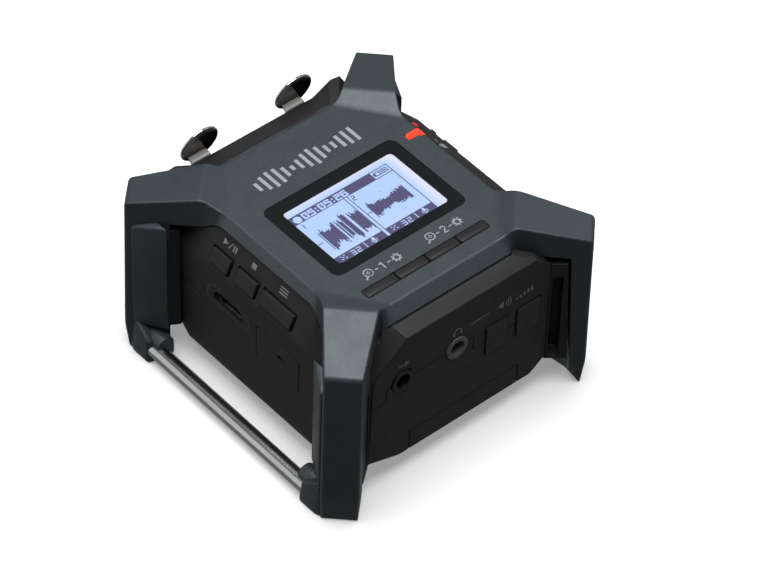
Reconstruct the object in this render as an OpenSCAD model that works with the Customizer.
// Portable field recorder with two XLR inputs, a top display and four corner legs.
// X runs to the right of the display, Y to the back, Z up. The origin is on the floor.

/* [Overall] */
// Height of the flat top plate above the floor
plate_z = 45.6; // [45:0.1:46]
// Height of the inner end of each raised arm, the highest point
arm_z = 47.8; // [47.4:0.1:48.4]
// Height of the knee where an arm turns down into its leg
knee_z = 43.6; // [43:0.1:44.5]
// Height of the underside of the case above the floor
belly_z = 6; // [5.5:0.1:6.2]
// Half of the width across the strap bar bosses
boss_x = 37.9; // [37.8:0.1:38.2]

/* [Case] */
// Distance from the centre to the left wall
left_x = 29.6; // [29:0.1:29.8]
// Distance from the centre to the right wall
right_x = 31.4; // [31:0.1:31.5]
// Distance from the centre to the front wall
front_y = 33.5; // [33.2:0.1:33.8]
// Distance from the centre to the rear wall
rear_y = 36; // [35.5:0.1:36]
// Thickness of the case walls
wall = 1.6; // [1.2:0.1:1.8]
// Height of the joint between the upper and lower case
seam_z = 25.3; // [25:0.1:25.6]

/* [Display] */
// Width of the display window
window_w = 36.6; // [35:0.1:37]
// Depth of the display window
window_d = 25.1; // [24:0.1:25.5]
// Distance of the window centre in front of the origin
window_y = 1.55; // [1.2:0.05:2]
// Width of the lit part of the display
lit_w = 30.4; // [28:0.1:31]
// Depth of the lit part of the display
lit_d = 19.1; // [18:0.1:19.4]

/* [Controls] */
// Travel of each key and push button
press = 0.5; // [0.3:0.1:0.6]
// Gap round each key and push button
key_gap = 0.15; // [0.1:0.05:0.2]
// Gap round each push button on the left facet
side_gap = 0.3; // [0.2:0.05:0.35]
// Travel of the record and hold switch each way from its middle
switch_travel = 2; // [1:0.1:2.2]

/* [Sockets] */
// Bore of the 3.5 mm jacks
jack_bore = 3.6; // [3.5:0.05:3.7]
// Outer diameter of the jack collars
jack_collar = 5.9; // [5.6:0.1:6]
// Height of the jack centres
jack_z = 29; // [28.8:0.1:29.2]
// Distance of each XLR socket from the centre line
xlr_x = 13.2; // [13:0.1:13.4]
// Height of the XLR socket centres
xlr_z = 22.5; // [22:0.1:23]
// Opening of an XLR socket for the plug's shell
xlr_bore = 18.9; // [18.7:0.1:19]
// Diameter of the round latch discs
disc_d = 10; // [9.8:0.1:10.2]

/* [Fastening] */
// Diameter of the strap bars
bar_d = 3.9; // [3.6:0.1:4]
// Distance of each strap bar from the centre
bar_x = 35.55; // [35.3:0.05:35.6]
// Height of the strap bars above the floor
bar_z = 3; // [2.8:0.1:3.2]
// Major diameter of the tripod thread
tripod_d = 6.35; // [6.35:0.01:6.35]
// Depth of the tripod thread
tripod_depth = 6.5; // [5:0.1:7]

/* [Power] */
// Diameter of an AA cell
cell_d = 14.4; // [14:0.1:14.5]
// Length of an AA cell without its tip
cell_l = 48.5; // [48:0.1:48.6]

/* [Hidden] */

// Shapes of one corner, in the quadrant where X and Y are positive
arm_in_1 = [27.1, 19.7];      // inner end of the arm on the side edge
arm_in_2 = [18.7, 28.2];      // inner end of the arm on the front or rear edge
knee_1 = [37.9, 33.0];        // knee corner on the side
knee_2 = [32.1, 38.9];        // knee corner at the front or rear
ramp_1 = [24.6, 15.3];        // foot of the ramp on the side edge
ramp_2 = [16.0, 27.0];        // foot of the ramp on the front or rear edge
rim_1 = [25.9, 15.6];         // rim of the plate below ramp_1
rim_2 = [16.4, 29.7];         // rim of the plate below ramp_2
shin_1 = [38.3, 33.4];        // outer edge of the leg on the side, at its widest
shin_2 = [32.5, 39.2];        // outer edge of the leg at the front or rear, at its widest
toe_1 = [37.7, 32.8];         // outer edge of the foot on the side
toe_2 = [31.9, 38.6];         // outer edge of the foot at the front or rear
leg_side = [32.9, 24.3];      // inner edge of the leg on the side
leg_back = [32.6, 33.0];      // inner corner of the leg
leg_front = [28.5, 36.0];     // inner edge of the leg at the front or rear, at the top
calf_front = [29.7, 36.95];   // the same edge at the bottom
leg_core = [34.2, 35.2];      // a point inside the leg, where its two limbs overlap
shin_z = 7;                   // height of the leg's widest level
rim_z = 43.1;                 // underside of the plate's rim
arm_low_z = 40.2;             // lower edge of an arm at its inner end
knee_low_z = 38.1;            // lower edge of an arm at its knee
skin = 1.8;                   // thickness of the top shell

// Case outline
deck_z = 42.6;                // flat top of the upper case
left_crease_z = 33;           // bottom of the sloping left facet
front_crease_z = 41.2;        // bottom of the sloping front facet
right_crease_z = 39;          // bottom of the sloping right facet
rear_crease_z = 40.2;         // bottom of the sloping rear facet
corner_z = 37;                // height of the case corners under the arms
board_t = 1.2;                // thickness of every circuit board
main_z = 23.7;                // underside of the main board
upper_board_z = 38.3;         // underside of the display board

// Left facet: a frame whose Z axis points out of it and whose X axis points up along it
facet_tilt = -atan2(deck_z - left_crease_z, 4);
side_key_z = 36.5;
side_key_x = -left_x + 4 * (side_key_z - left_crease_z) / (deck_z - left_crease_z);
side_key_h = 3.7;             // height of the side buttons along the facet
side_keys = [["play", 12.05, 6.1], ["stop", 3.5, 6.4], ["menu", -6.65, 10.3]];

// Function keys: left edge and right edge of each
key_edges = [[-17, -8.45], [-8.15, -0.05], [0.25, 8.55], [8.85, 16.7]];
key_y = -21.55;               // middle of the row of function keys
key_d = 2.5;                  // depth of the row of function keys

// Volume buttons on the front wall
volume_low_z = 21.4;
volume_h = 7.9;
volume_down_x = [7.0, 12.9];
volume_up_x = [15.8, 22.5];

// Jacks on the front wall
line_out_x = -16.4;
headphone_x = -1.2;
jack_l = 13;                  // length of the jack bores

// Left wall openings
usb_y = 8.0;
usb_z = 26.45;
card_y = [-15.5, -1.6];
card_z = [19.2, 28.4];

// Right wall controls
slider_y = 9.05;
slider_z = 37.2;
power_y = -9;
power_z = 31;
remote_y = [2, 16];
remote_z = [24.5, 31.5];

// XLR latches
disc_y = 38.15;
disc_z = 42.75;
disc_tilt = 13;
disc_t = 0.8;
stem_w = 5;
stem_t = 0.8;
stem_y = 37.1;
shelf_z = 39.3;               // top of the shelf that joins the stem to the disc
pivot_y = 35.6;               // pin that each latch lever turns about
pivot_z = 33.2;
pin_d = 1;
socket_l = 15.5;              // length of an XLR socket

// Power
cell_z = belly_z + 1.75 + cell_d / 2;
cover_x = [-13.6, 17.2];
cover_lip_z = 11.4;
cover_y1 = 20;
cell_x = [for (side = [-1, 1]) (cover_x[0] + cover_x[1]) / 2 + side * (cell_d / 2 + 0.15)];
cell_y = -30.9;               // front end of the cells
cell_top = cell_z + cell_d / 2 + 0.35;
bay_wall = 0.8;
tripod_y = 28;
screw_spots = [[-22.5, 27], [22.5, 27], [-22, -20], [24, -20]];
panel_spots = [for (x = [-22.2, 22.2], z = [12.5, 34.6]) [x, z]];

function at(p, z) = [p[0], p[1], z];
module solid(points) {
    hull() polyhedron(points, [[for (i = [0:len(points) - 1]) i]]);
}
module box(low, high) {
    translate(low) cube(high - low);
}
module at_corners() {
    for (sx = [0, 1], sy = [0, 1]) mirror([sx, 0, 0]) mirror([0, sy, 0]) children();
}
module on_left_facet(y) {
    translate([side_key_x, y, side_key_z]) rotate([0, facet_tilt, 0]) children();
}
module pill(w, d, h, r) {
    linear_extrude(h) hull() for (sx = [-1, 1], sy = [-1, 1])
        translate([sx * (w / 2 - r), sy * (d / 2 - r)]) circle(r, $fn = 32);
}

// ---- Top shell ----
function arm_points(c) = [
    at(arm_in_1 + [c, -c], arm_z), at(arm_in_2 + [-c, c], arm_z),
    at(knee_1 + [c, -c], knee_z), at(knee_2 + [-c, c], knee_z),
    at(arm_in_1 + [c, -c], arm_low_z - c), at(arm_in_2 + [-c, c], arm_low_z - c),
    at(knee_1 + [c, -c], knee_low_z - c), at(knee_2 + [-c, c], knee_low_z - c)];
function ramp_points(c) = [
    at(ramp_1 - [c, c], plate_z), at(ramp_2 - [c, c], plate_z),
    at(arm_in_1, arm_z), at(arm_in_2, arm_z),
    for (side = [-1, 1]) each [
        at(rim_1 + [side * c, -c], rim_z - c), at(rim_2 + [-c, side * c], rim_z - c),
        at(arm_in_1 + [side * c, -c], arm_low_z - c), at(arm_in_2 + [-c, side * c], arm_low_z - c)]];
module arm(c = 0) {
    solid(arm_points(c));
    solid(ramp_points(c));
}
// One ring of the plate's outline, moved in by c
function plate_ring(p1, p2, c, z) = [for (sx = [-1, 1], sy = [-1, 1])
    each [[sx * (p1[0] - c), sy * p1[1], z], [sx * p2[0], sy * (p2[1] - c), z]]];
module plate_block(c) {
    solid(concat(plate_ring(ramp_1, ramp_2, c, plate_z - c), plate_ring(rim_1, rim_2, c, rim_z - c)));
}
// The L-shaped leg, from the knee to the floor: a limb on the side and one at the front or rear
module leg() {
    solid([at(knee_1, knee_low_z), at(knee_2, knee_low_z), at(leg_side, knee_low_z + 1.4),
        at(leg_back, knee_low_z + 1), at(shin_1, shin_z), at(shin_2, shin_z),
        at(toe_1, 0), at(toe_2, 0), at(leg_side, 0), at(leg_back, 0)]);
    solid([at(knee_2, knee_low_z), at(leg_core, knee_low_z + 1), at(leg_front, knee_low_z + 1),
        at(leg_back, knee_low_z + 1), at(shin_2, shin_z), at(toe_2, 0), at(leg_core, 0),
        at(calf_front, 0), at(leg_back, 0)]);
}
module bar_boss() {
    solid([for (z = [0, 5.6]) each [
        [32, 22.9, z], [36.4, 23.4, z], [boss_x, 24.6, z], [boss_x, 31, z],
        [36.9, 33.4, z], [32.4, 31, z]],
        [32.2, 23.6, 8.6], [33.4, 24.4, 9], [33.8, 31, 9], [32.6, 30.8, 8.8],
        [36.3, 25.2, 6.4], [36.5, 31.4, 6.4]]);
}
module top_shell() {
    color("dimgray") difference() {
        union() {
            difference() {
                plate_block(0);
                plate_block(skin);
            }
            at_corners() {
                arm();
                leg();
                bar_boss();
            }
        }
        // hollow of the arms
        at_corners() solid([
            at([25.2, 20.4], arm_z - skin), at([19.4, 26.4], arm_z - skin - 0.2),
            at([34.2, 31.2], knee_z - skin), at([30.6, 35.2], knee_z - skin),
            at([25.2, 20.4], arm_low_z - 2), at([19.4, 26.4], arm_low_z - 2),
            at([32.1, 29.6], knee_low_z - 0.6), at([29.2, 33.0], knee_low_z - 0.6)]);
        // window pocket and hole
        translate([0, -window_y, plate_z - 1.1])
            pill(window_w + 0.1, window_d + 0.1, 2, 2);
        translate([0, -window_y - 0.3, plate_z - 3])
            pill(lit_w + 1.6, lit_d + 1.6, 4, 1.4);
        // slot for the function keys
        box([key_edges[0][0] - key_gap, key_y - key_d / 2 - key_gap, plate_z - 3],
            [key_edges[3][1] + key_gap, key_y + key_d / 2 + key_gap, plate_z + 1]);
        // slot for the record lamp
        box([20.75, 6.95, rim_z - 1], [30, 10.15, plate_z + 1]);
        // seats of the strap bars
        for (sx = [-1, 1]) translate([sx * bar_x, 0, bar_z]) rotate([90, 0, 0])
            cylinder(d = bar_d, h = 60, center = true, $fn = 48);
    }
}

// ---- Case ----
// Points of the case block, each wall moved in by c
function case_points(c) = [
    // underside
    [-16, -front_y + c, belly_z + c], [21, -front_y + c, belly_z + c],
    [27.2 - c, -30.5 + c, belly_z + c], [right_x - 1 - c, -23.5 + c, belly_z + c],
    [right_x - 1 - c, 23 - c, belly_z + c], [25 - c, rear_y - 1 - c, belly_z + c],
    [-25 + c, rear_y - 1 - c, belly_z + c], [-left_x + 0.6 + c, 22 - c, belly_z + c],
    [-left_x + 0.6 + c, -22 + c, belly_z + c], [-24 + c, -31 + c, belly_z + c],
    // walls
    [25.2 - c, -front_y + c, 9 + c], [right_x - c, -24.2 + c, 9 + c],
    [right_x - c, 24.2 - c, 9 + c], [25.2 - c, rear_y - c, 9 + c],
    [-25.2 + c, rear_y - c, 9 + c], [-left_x + c, 22.9 - c, 9 + c],
    [-left_x + c, -22.9 + c, 9 + c], [-25.2 + c, -front_y + c, 9 + c],
    [25.2 - c, -front_y + c, corner_z - c], [right_x - c, -24.2 + c, corner_z - c],
    [right_x - c, 24.2 - c, corner_z - c], [25.2 - c, rear_y - c, corner_z - c],
    [-25.2 + c, rear_y - c, corner_z - c], [-left_x + c, 22.9 - c, left_crease_z - c],
    [-left_x + c, -20 + c, left_crease_z - c], [-24.4 + c, -front_y + c, 33.4 - c],
    // creases
    [20.5, -front_y + c, front_crease_z - c], [-15.5, -front_y + c, front_crease_z - c],
    [right_x - c, -17, right_crease_z - c], [right_x - c, 17, right_crease_z - c],
    [17, rear_y - c, rear_crease_z - c], [-17, rear_y - c, rear_crease_z - c],
    // deck
    [25.5 - c, -15.8, deck_z - c], [25.5 - c, 15.8, deck_z - c],
    [16.4, 29.4 - c, deck_z - c], [-16.4, 29.4 - c, deck_z - c],
    [-25.6 + c, 15.8, deck_z - c], [-25.6 + c, -15.8, deck_z - c],
    [-16.4, -29.5 + c, deck_z - c], [16.4, -29.5 + c, deck_z - c]];
module corner_post() {
    outline = [[25.2, 33.4], [31.7, 31.9], [31.5, 25.7], [29.4, 24.4], [24, 28]];
    difference() {
        solid([at(calf_front - [0.55, 0.45], 8), at(leg_front - [0.35, 0.3], corner_z),
            for (z = [8, corner_z], p = outline) at(p, z)]);
        // upright groove beside the post
        translate([25.6, 33.8, 9]) rotate([0, 0, 38]) translate([0, -3.4, 0]) cube([2.3, 5, 24]);
    }
}
// Shoulder of the case behind a rear arm
module rear_shoulder() {
    solid([[17, rear_y, rear_crease_z], [21.8, rear_y - 0.3, 43], [24.6, rear_y - 0.3, 42.6], [28, rear_y, 37],
        [16.4, 29.4, deck_z], [19, 28.4, deck_z], [17, rear_y, 34], [27, rear_y, 34], [18, 30, 34]]);
}
module case_outer() {
    difference() {
        union() {
            solid(case_points(0));
            at_corners() corner_post();
            for (sx = [0, 1]) mirror([sx, 0, 0]) rear_shoulder();
        }
        at_corners() arm(0.35);
        at_corners() translate([0, 0, -1]) linear_extrude(8.8)
            polygon([[31.4, 23.1], [30.9, 32], [40, 36], [40, 20]]);
    }
}
// Space that belongs to the lower case: the seam steps up at the jacks and down at the left
module lower_zone(gap) {
    difference() {
        union() {
            box([-50, -50, 0], [50, 50, seam_z - gap]);
            box([-20.8 + gap, -50, 20], [3.5 - gap, -front_y + wall + 0.6, jack_z - gap]);
        }
        box([-50, -21, 22.8 - gap], [-left_x + wall + 0.6, 25, 60]);
    }
}
module case_shell() {
    difference() {
        case_outer();
        solid(case_points(wall));
        // jack collars
        for (x = [line_out_x, headphone_x]) translate([x, -front_y + 3, jack_z])
            rotate([90, 0, 0]) cylinder(d = jack_collar + 0.1, h = 5, $fn = 64);
        // volume buttons
        for (x = [volume_down_x, volume_up_x])
            box([x[0] - key_gap, -front_y - 1, volume_low_z - key_gap],
                [x[1] + key_gap, -front_y + wall + 0.5, volume_low_z + volume_h + key_gap]);
        // side buttons
        for (k = side_keys) on_left_facet(k[1])
            translate([-side_key_h / 2 - side_gap, -k[2] / 2 - side_gap, -4])
                cube([side_key_h + 2 * side_gap, k[2] + 2 * side_gap, 6]);
        // USB opening
        translate([-left_x - 1, usb_y, usb_z]) rotate([90, 0, 90]) pill(9.6, 3.5, 4, 1.7);
        // memory card bay
        box([-left_x - 1, card_y[0] - 0.1, card_z[0] - 0.1],
            [-left_x + wall + 0.5, card_y[1] + 0.1, card_z[1] + 0.1]);
        // record and hold switch
        box([right_x - 3, slider_y - 4.8 - switch_travel, slider_z - 1.2],
            [right_x + 1, slider_y + 4.8 + switch_travel, slider_z + 1.2]);
        // power button
        translate([right_x - 3, power_y, power_z]) rotate([0, 90, 0])
            cylinder(d = 5 + 2 * key_gap, h = 5, $fn = 48);
        // remote connector
        box([right_x - wall - 0.5, remote_y[0] - 0.1, remote_z[0] - 0.1],
            [right_x + 1, remote_y[1] + 0.1, remote_z[1] + 0.1]);
        // rear panel
        box([-24.5, rear_y - wall - 0.5, 9.4], [24.5, rear_y + 1, 38.6]);
        // display module and key switches
        box([-17.6, -14.2, deck_z - 4], [17.6, 10.8, deck_z + 1]);
        box([key_edges[0][0], key_y - 2, deck_z - 4], [key_edges[3][1], key_y + 2, deck_z + 1]);
        // battery cover
        box([cover_x[0] - 0.15, -front_y - 1, belly_z - 1],
            [cover_x[1] + 0.15, cover_y1 + 0.15, belly_z + wall + 0.2]);
        box([cover_x[0] - 0.15, -front_y - 1, belly_z - 1],
            [cover_x[1] + 0.15, -front_y + wall + 0.2, cover_lip_z + 0.15]);
        // tripod insert and case screws
        translate([0, tripod_y, belly_z - 1]) cylinder(d = 10, h = 4, $fn = 48);
        for (p = screw_spots) translate([p[0], p[1], belly_z - 1]) {
            cylinder(d = 3.6, h = 2.1, $fn = 32);
            cylinder(d = 2, h = 4, $fn = 32);
        }
    }
}
module upper_case() {
    color("#232426") difference() {
        case_shell();
        lower_zone(-0.05);
    }
}
module lower_case() {
    color("#1d1e20") {
        difference() {
            union() {
                intersection() {
                    case_shell();
                    lower_zone(0.05);
                }
                // ceiling, rear wall and side walls of the battery bay
                box([cover_x[0] - bay_wall, -31.8, cell_top], [cover_x[1] + bay_wall, cover_y1 + bay_wall,
                    cell_top + bay_wall]);
                box([cover_x[0] - bay_wall, cover_y1 + 0.15, belly_z + 1.55],
                    [cover_x[1] + bay_wall, cover_y1 + bay_wall, cell_top + 0.1]);
                for (x = [cover_x[0] - bay_wall, cover_x[1]])
                    box([x, -31.8, belly_z + 1.55], [x + bay_wall, cover_y1 + bay_wall, cell_top + 0.1]);
            }
            // clear the backs of the volume buttons
            box([6, -32.6, 21], [23.5, -31.1, 24]);
        }
        // tripod boss and screw bosses
        translate([0, tripod_y, belly_z + wall - 0.5]) difference() {
            cylinder(d = 12.6, h = tripod_depth - 0.1, $fn = 48);
            translate([0, 0, -1]) cylinder(d = 10, h = 12, $fn = 48);
        }
        for (p = screw_spots) translate([p[0], p[1], belly_z + 1.1]) difference() {
            cylinder(d = 4.6, h = 6, $fn = 32);
            translate([0, 0, -1]) cylinder(d = 2, h = 8, $fn = 32);
        }
    }
}
module rear_panel() {
    color("#202123") difference() {
        box([-24.4, rear_y - wall, 9.5], [24.4, rear_y, 38.5]);
        for (sx = [-1, 1]) translate([sx * xlr_x, rear_y + 1, xlr_z]) rotate([90, 0, 0])
            cylinder(r = 10.7, h = 5, $fn = 96);
        for (sx = [-1, 1]) box([sx * xlr_x - 3.1, rear_y - 3, 31], [sx * xlr_x + 3.1, rear_y + 1, 35.2]);
        for (p = panel_spots) translate([p[0], rear_y + 1, p[1]])
            rotate([90, 0, 0]) cylinder(d = 2.1, h = 5, $fn = 32);
    }
}

// ---- Display ----
module display_window() {
    color("#0b0d10") translate([0, -window_y, plate_z - 1.05])
        pill(window_w, window_d, 1, 2);
}
module lcd_module() {
    color("#c8d7fa") {
        translate([0, -window_y - 0.3, plate_z - 1.75]) pill(lit_w + 1.2, lit_d + 1.2, 0.6, 1.2);
        box([-17.3, -13.9, upper_board_z + board_t], [17.3, 10.5, plate_z - 1.85]);
    }
}
module function_key(i) {
    color("#17181a") {
        w = key_edges[i][1] - key_edges[i][0];
        translate([key_edges[i][0] + w / 2, key_y, deck_z + press + 0.15])
            pill(w, key_d, plate_z - deck_z - press, 0.5);
    }
}
module function_key_1() { function_key(0); }
module function_key_2() { function_key(1); }
module function_key_3() { function_key(2); }
module function_key_4() { function_key(3); }
module record_lamp() {
    color("#ff3c1e") translate([0, 10.1, 0]) rotate([90, 0, 0]) linear_extrude(3.1)
        polygon([[20.8, plate_z - skin], [20.8, plate_z + 0.05], [24.6, plate_z + 0.05],
            [25.95, rim_z], [24.4, rim_z], [24, plate_z - skin]]);
}

// ---- Push buttons ----
module side_button(i) {
    k = side_keys[i];
    color("#1b1c1e") on_left_facet(k[1]) {
        translate([-side_key_h / 2, -k[2] / 2, -2.2]) cube([side_key_h, k[2], 2.8]);
        translate([-side_key_h / 2 - 0.1, -k[2] / 2 - 0.1, -2.9])
            cube([side_key_h + 0.2, k[2] + 0.2, 0.7]);
    }
}
module play_button() { side_button(0); }
module stop_button() { side_button(1); }
module menu_button() { side_button(2); }
module volume_button(x) {
    color("#1b1c1e") box([x[0], -front_y - 0.3, volume_low_z],
        [x[1], -front_y + wall, volume_low_z + volume_h]);
}
module volume_down_button() { volume_button(volume_down_x); }
module volume_up_button() { volume_button(volume_up_x); }
module power_button() {
    color("#1b1c1e") translate([right_x - 2.2, power_y, power_z]) rotate([0, 90, 0])
        cylinder(d = 5, h = 2.7, $fn = 48);
}
module record_slider() {
    color("#151618") {
        box([right_x - 2.2, slider_y - 4.5, slider_z - 1], [right_x + 0.1, slider_y + 4.5, slider_z + 1]);
        for (y = [-4.3, 2.8]) box([right_x, slider_y + y, slider_z - 1],
            [right_x + 1, slider_y + y + (y < 0 ? 4.4 : 1.6), slider_z + 1]);
    }
}
module slider_switch() {
    color("silver") box([right_x - 6.2, slider_y - 4, slider_z - 2],
        [right_x - 2.6, slider_y + 4, slider_z + 1]);
}

// ---- Sockets ----
module jack(x) {
    translate([x, -front_y - 0.25, jack_z]) rotate([-90, 0, 0]) difference() {
        union() {
            cylinder(d = jack_collar, h = 3, $fn = 64);
            translate([-3.3, -3.4, 2.2]) cube([6.6, 7.4, 12]);
        }
        translate([0, 0, -1]) cylinder(d = jack_bore, h = jack_l + 1, $fn = 48);
    }
}
module line_out_jack() { color("#111214") jack(line_out_x); }
module headphone_jack() { color("#9a9c9e") jack(headphone_x); }
module usb_socket() {
    color("silver") translate([-left_x + 0.9, usb_y, usb_z]) rotate([90, 0, 90]) difference() {
        pill(9, 3.1, 7.4, 1.5);
        difference() {
            translate([0, 0, -1]) pill(8.4, 2.5, 7.4, 1.2);
            translate([-3.3, -0.35, 1]) cube([6.6, 0.7, 7]);
        }
    }
}
module card_cover() {
    color("#1e1f21") difference() {
        box([-left_x, card_y[0], card_z[0]], [-left_x + 1.1, card_y[1], card_z[1]]);
        // finger notch at the top and a small slot below it
        translate([-left_x, -8.05, card_z[1] + 0.6]) rotate([0, 45, 0])
            cube([1.6, 7.3, 1.6], center = true);
        box([-left_x - 1, -10.6, 24.1], [-left_x + 0.5, -8.6, 25.3]);
    }
}
module card_socket() {
    color("silver") difference() {
        box([-left_x + 2.4, -15.2, main_z + board_t], [-14.2, -1.9, main_z + board_t + 1.9]);
        box([-left_x + 1, -14.2, main_z + board_t + 0.4], [-14.6, -2.9, main_z + board_t + 1.4]);
    }
}
module memory_card() {
    color("#101010") box([-left_x + 1.6, -14.05, main_z + board_t + 0.5],
        [-15, -3.05, main_z + board_t + 1.3]);
}
module remote_cover() {
    color("#1e1f21") box([right_x - 1.1, remote_y[0], remote_z[0]], [right_x, remote_y[1], remote_z[1]]);
}
module remote_socket() {
    color("#2a2a2a") difference() {
        box([right_x - 7, remote_y[0] + 2, main_z + board_t],
            [right_x - 1.9, remote_y[1] - 2, remote_z[1] - 0.5]);
        box([right_x - 5.5, remote_y[0] + 3, 26.2], [right_x, remote_y[1] - 3, 29.8]);
    }
}
module xlr_socket(x) {
    color("#18191b") translate([x, rear_y + 0.5, xlr_z]) rotate([90, 0, 0]) difference() {
        union() {
            difference() {
                union() {
                    cylinder(r = 10.6, h = socket_l, $fn = 96);
                    translate([-2.9, 8, 0.5]) cube([5.8, 4.4, 4]);
                }
                translate([0, 0, -1]) cylinder(d = xlr_bore, h = socket_l - 2, $fn = 96);
            }
            // contact carrier
            translate([0, 0, 1]) cylinder(r = 7.5, h = socket_l - 3, $fn = 96);
        }
        xlr_holes() cylinder(d = 2.9, h = 12, $fn = 32);
        // slot for the latch lever, and the holes of its pin
        translate([-2, 8.4, -1]) cube([4, 6, 4.6]);
        translate([0, pivot_z - xlr_z, rear_y + 0.5 - pivot_y]) rotate([0, 90, 0])
            cylinder(d = pin_d + 0.04, h = 7, center = true, $fn = 32);
    }
}
module xlr_holes() {
    for (a = [30, 150, 270]) rotate([0, 0, a]) translate([4.2, 0, 0]) children();
}
module xlr_socket_1() { xlr_socket(-xlr_x); }
module xlr_socket_2() { xlr_socket(xlr_x); }
module xlr_contacts(x) {
    color("gold") translate([x, rear_y - 1, xlr_z]) rotate([90, 0, 0]) xlr_holes() difference() {
        cylinder(d = 2.86, h = 10.2, $fn = 32);
        translate([0, 0, -1]) cylinder(d = 2.4, h = 10, $fn = 32);
    }
}
module xlr_contacts_1() { xlr_contacts(-xlr_x); }
module xlr_contacts_2() { xlr_contacts(xlr_x); }
// Latch lever: a dished disc on a bent flat stem that turns about a pin and ends in a hook
module latch(x) {
    color("#d9dadb") difference() {
        union() {
            translate([x, disc_y, disc_z]) rotate([disc_tilt - 90, 0, 0]) difference() {
                cylinder(d = disc_d, h = disc_t, center = true, $fn = 96);
                translate([0, 0, -disc_t / 2 - 1]) cylinder(d = disc_d - 0.8, h = 1.3, $fn = 96);
            }
            box([x - stem_w / 2, stem_y, shelf_z - stem_t], [x + stem_w / 2, disc_y + 0.8, shelf_z]);
            box([x - stem_w / 2, stem_y, pivot_z - 0.6], [x + stem_w / 2, stem_y + stem_t, shelf_z]);
            box([x - 1.7, pivot_y, pivot_z - 0.6], [x + 1.7, stem_y + 0.2, pivot_z + 0.6]);
            translate([x, pivot_y, pivot_z]) rotate([0, 90, 0])
                cylinder(d = 2, h = 3.4, center = true, $fn = 48);
            box([x - 1.7, pivot_y - 0.4, 31.1], [x + 1.7, pivot_y + 0.4, pivot_z - 0.6]);
        }
        translate([x, pivot_y, pivot_z]) rotate([0, 90, 0])
            cylinder(d = pin_d + 0.1, h = 6, center = true, $fn = 32);
    }
}
module latch_1() { latch(-xlr_x); }
module latch_2() { latch(xlr_x); }
module latch_pins() {
    color("silver") for (x = [-xlr_x, xlr_x]) translate([x, pivot_y, pivot_z]) rotate([0, 90, 0])
        cylinder(d = pin_d, h = 5.6, center = true, $fn = 32);
}

// ---- Power ----
module battery_cover() {
    color("#1c1d1f") {
        box([cover_x[0], -front_y, belly_z], [cover_x[1], cover_y1, belly_z + 1.4]);
        box([cover_x[0], -front_y, belly_z], [cover_x[1], -front_y + 1.3, cover_lip_z]);
    }
}
// An AA cell: its tip points to the back
module cell(x) {
    color("#2f6f4f") translate([x, cell_y, cell_z]) rotate([-90, 0, 0]) {
        cylinder(d = cell_d, h = cell_l, $fn = 64);
        cylinder(d = 5.4, h = cell_l + 1, $fn = 32);
    }
}
module battery_1() { cell(cell_x[0]); }
module battery_2() { cell(cell_x[1]); }
module battery_springs() {
    color("silver") for (x = cell_x) translate([x, cell_y - 0.1, cell_z]) rotate([90, 0, 0]) difference() {
        cylinder(d1 = 7, d2 = 8.2, h = 0.75, $fn = 32);
        translate([0, 0, -1]) cylinder(d = 5, h = 3, $fn = 32);
    }
}
module battery_plates() {
    color("silver") for (x = cell_x)
        box([x - 4.5, cell_y + cell_l + 1.1, cell_z - 4.5], [x + 4.5, cell_y + cell_l + 1.6, cell_z + 4.5]);
}

// ---- Boards ----
module main_board() {
    color("darkgreen") translate([0, 0, main_z]) linear_extrude(board_t)
        polygon([[-27.3, 18.5], [-27.3, -20.2], [-23, -30.6], [23.6, -30.6], [29.2, -22], [29.2, 18.5]]);
}
module display_board() {
    color("darkgreen") box([-19.3, -25.5, upper_board_z], [22, 13, upper_board_z + board_t]);
}
module side_board() {
    color("darkgreen") on_left_facet(0) translate([-2.4, -13, -6.8]) cube([4.8, 29, board_t]);
}
module side_switches() {
    color("silver") for (k = side_keys) on_left_facet(k[1])
        translate([-1.6, -1.8, -5.55]) cube([3.2, 3.6, 2.5 - press]);
}
module key_switches() {
    color("silver") for (e = key_edges)
        box([(e[0] + e[1]) / 2 - 2, key_y - 1.5, upper_board_z + board_t],
            [(e[0] + e[1]) / 2 + 2, key_y + 1.5, deck_z + 0.05]);
}
module volume_switches() {
    color("silver") for (x = [volume_down_x, volume_up_x])
        box([(x[0] + x[1]) / 2 - 2.2, -front_y + wall + press + 0.15, main_z + board_t],
            [(x[0] + x[1]) / 2 + 2.2, -28.4, jack_z - 0.4]);
}
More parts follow.
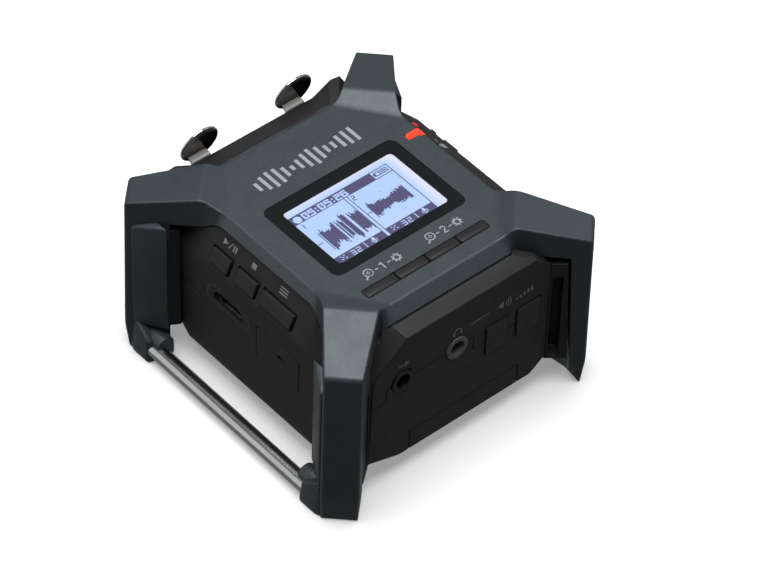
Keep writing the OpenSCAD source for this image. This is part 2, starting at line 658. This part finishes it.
module power_switch() {
    color("silver") box([right_x - 6.2, power_y - 3, main_z + board_t],
        [right_x - 2.35 - press, power_y + 3, power_z + 1.6]);
}
module input_board() {
    color("darkgreen") box([-24, 19.2, 24], [24, 20.4, 37.4]);
}

// ---- Fastening ----
module tripod_insert() {
    color("#b08d57") translate([0, tripod_y, belly_z]) difference() {
        cylinder(d = 9.9, h = tripod_depth + 1, $fn = 48);
        translate([0, 0, -1]) cylinder(d = tripod_d, h = tripod_depth + 1, $fn = 48);
    }
}
module strap_bar(x) {
    color("silver") translate([x, 0, bar_z]) rotate([90, 0, 0])
        cylinder(d = bar_d, h = 60, center = true, $fn = 48);
}
module strap_bar_left() { strap_bar(-bar_x); }
module strap_bar_right() { strap_bar(bar_x); }
module screw_cross() {
    for (a = [0, 90]) rotate([0, 0, a]) cube([1.9, 0.4, 1], center = true);
}
module case_screws() {
    color("black") for (p = screw_spots) translate([p[0], p[1], belly_z + 0.2]) difference() {
        union() {
            cylinder(d = 3.4, h = 0.8, $fn = 32);
            cylinder(d = 1.9, h = 6.5, $fn = 32);
        }
        screw_cross();
    }
}
module panel_screws() {
    color("black") for (p = panel_spots)
        translate([p[0], rear_y + 0.9, p[1]]) rotate([90, 0, 0]) difference() {
            union() {
                cylinder(d = 3.4, h = 0.85, $fn = 32);
                cylinder(d = 1.9, h = 4.4, $fn = 32);
            }
            screw_cross();
        }
}

top_shell();
upper_case();
lower_case();
rear_panel();
display_window();
lcd_module();
function_key_1();
function_key_2();
function_key_3();
function_key_4();
record_lamp();
play_button();
stop_button();
menu_button();
volume_down_button();
volume_up_button();
line_out_jack();
headphone_jack();
usb_socket();
card_cover();
card_socket();
memory_card();
record_slider();
slider_switch();
power_button();
remote_cover();
remote_socket();
xlr_socket_1();
xlr_socket_2();
xlr_contacts_1();
xlr_contacts_2();
latch_1();
latch_2();
latch_pins();
battery_cover();
battery_1();
battery_2();
battery_springs();
battery_plates();
main_board();
display_board();
side_board();
key_switches();
side_switches();
volume_switches();
power_switch();
input_board();
tripod_insert();
strap_bar_left();
strap_bar_right();
case_screws();
panel_screws();
